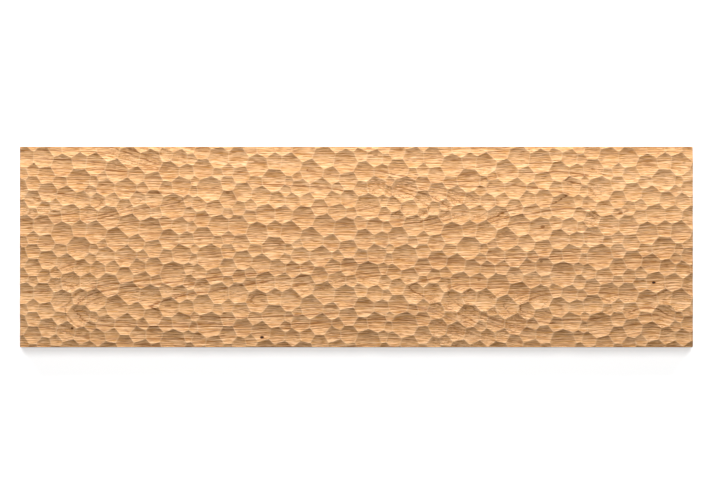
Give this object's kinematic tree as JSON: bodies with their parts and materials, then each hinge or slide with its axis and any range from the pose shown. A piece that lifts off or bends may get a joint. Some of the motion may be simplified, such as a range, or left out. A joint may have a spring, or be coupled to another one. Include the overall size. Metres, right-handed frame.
{
  "type": "carved moulding",
  "caption": "Flat length of carved wood moulding, its face scooped all over into shallow round hollows that meet in crisp ridges; trims walls, doors and furniture.",
  "frame": {"origin": "middle of the flat back, which lies on the floor", "axes": "+X along the length, +Y across the width, +Z out of the carved face"},
  "size_m": [0.67, 0.2, 0.0158],
  "materials": {
    "carved_wood": "bare or clear-oiled wood, carved with a gouge, satin"
  },
  "bodies": {
    "root": {"carved_board": "carved_wood"}
  },
  "joints": []
}
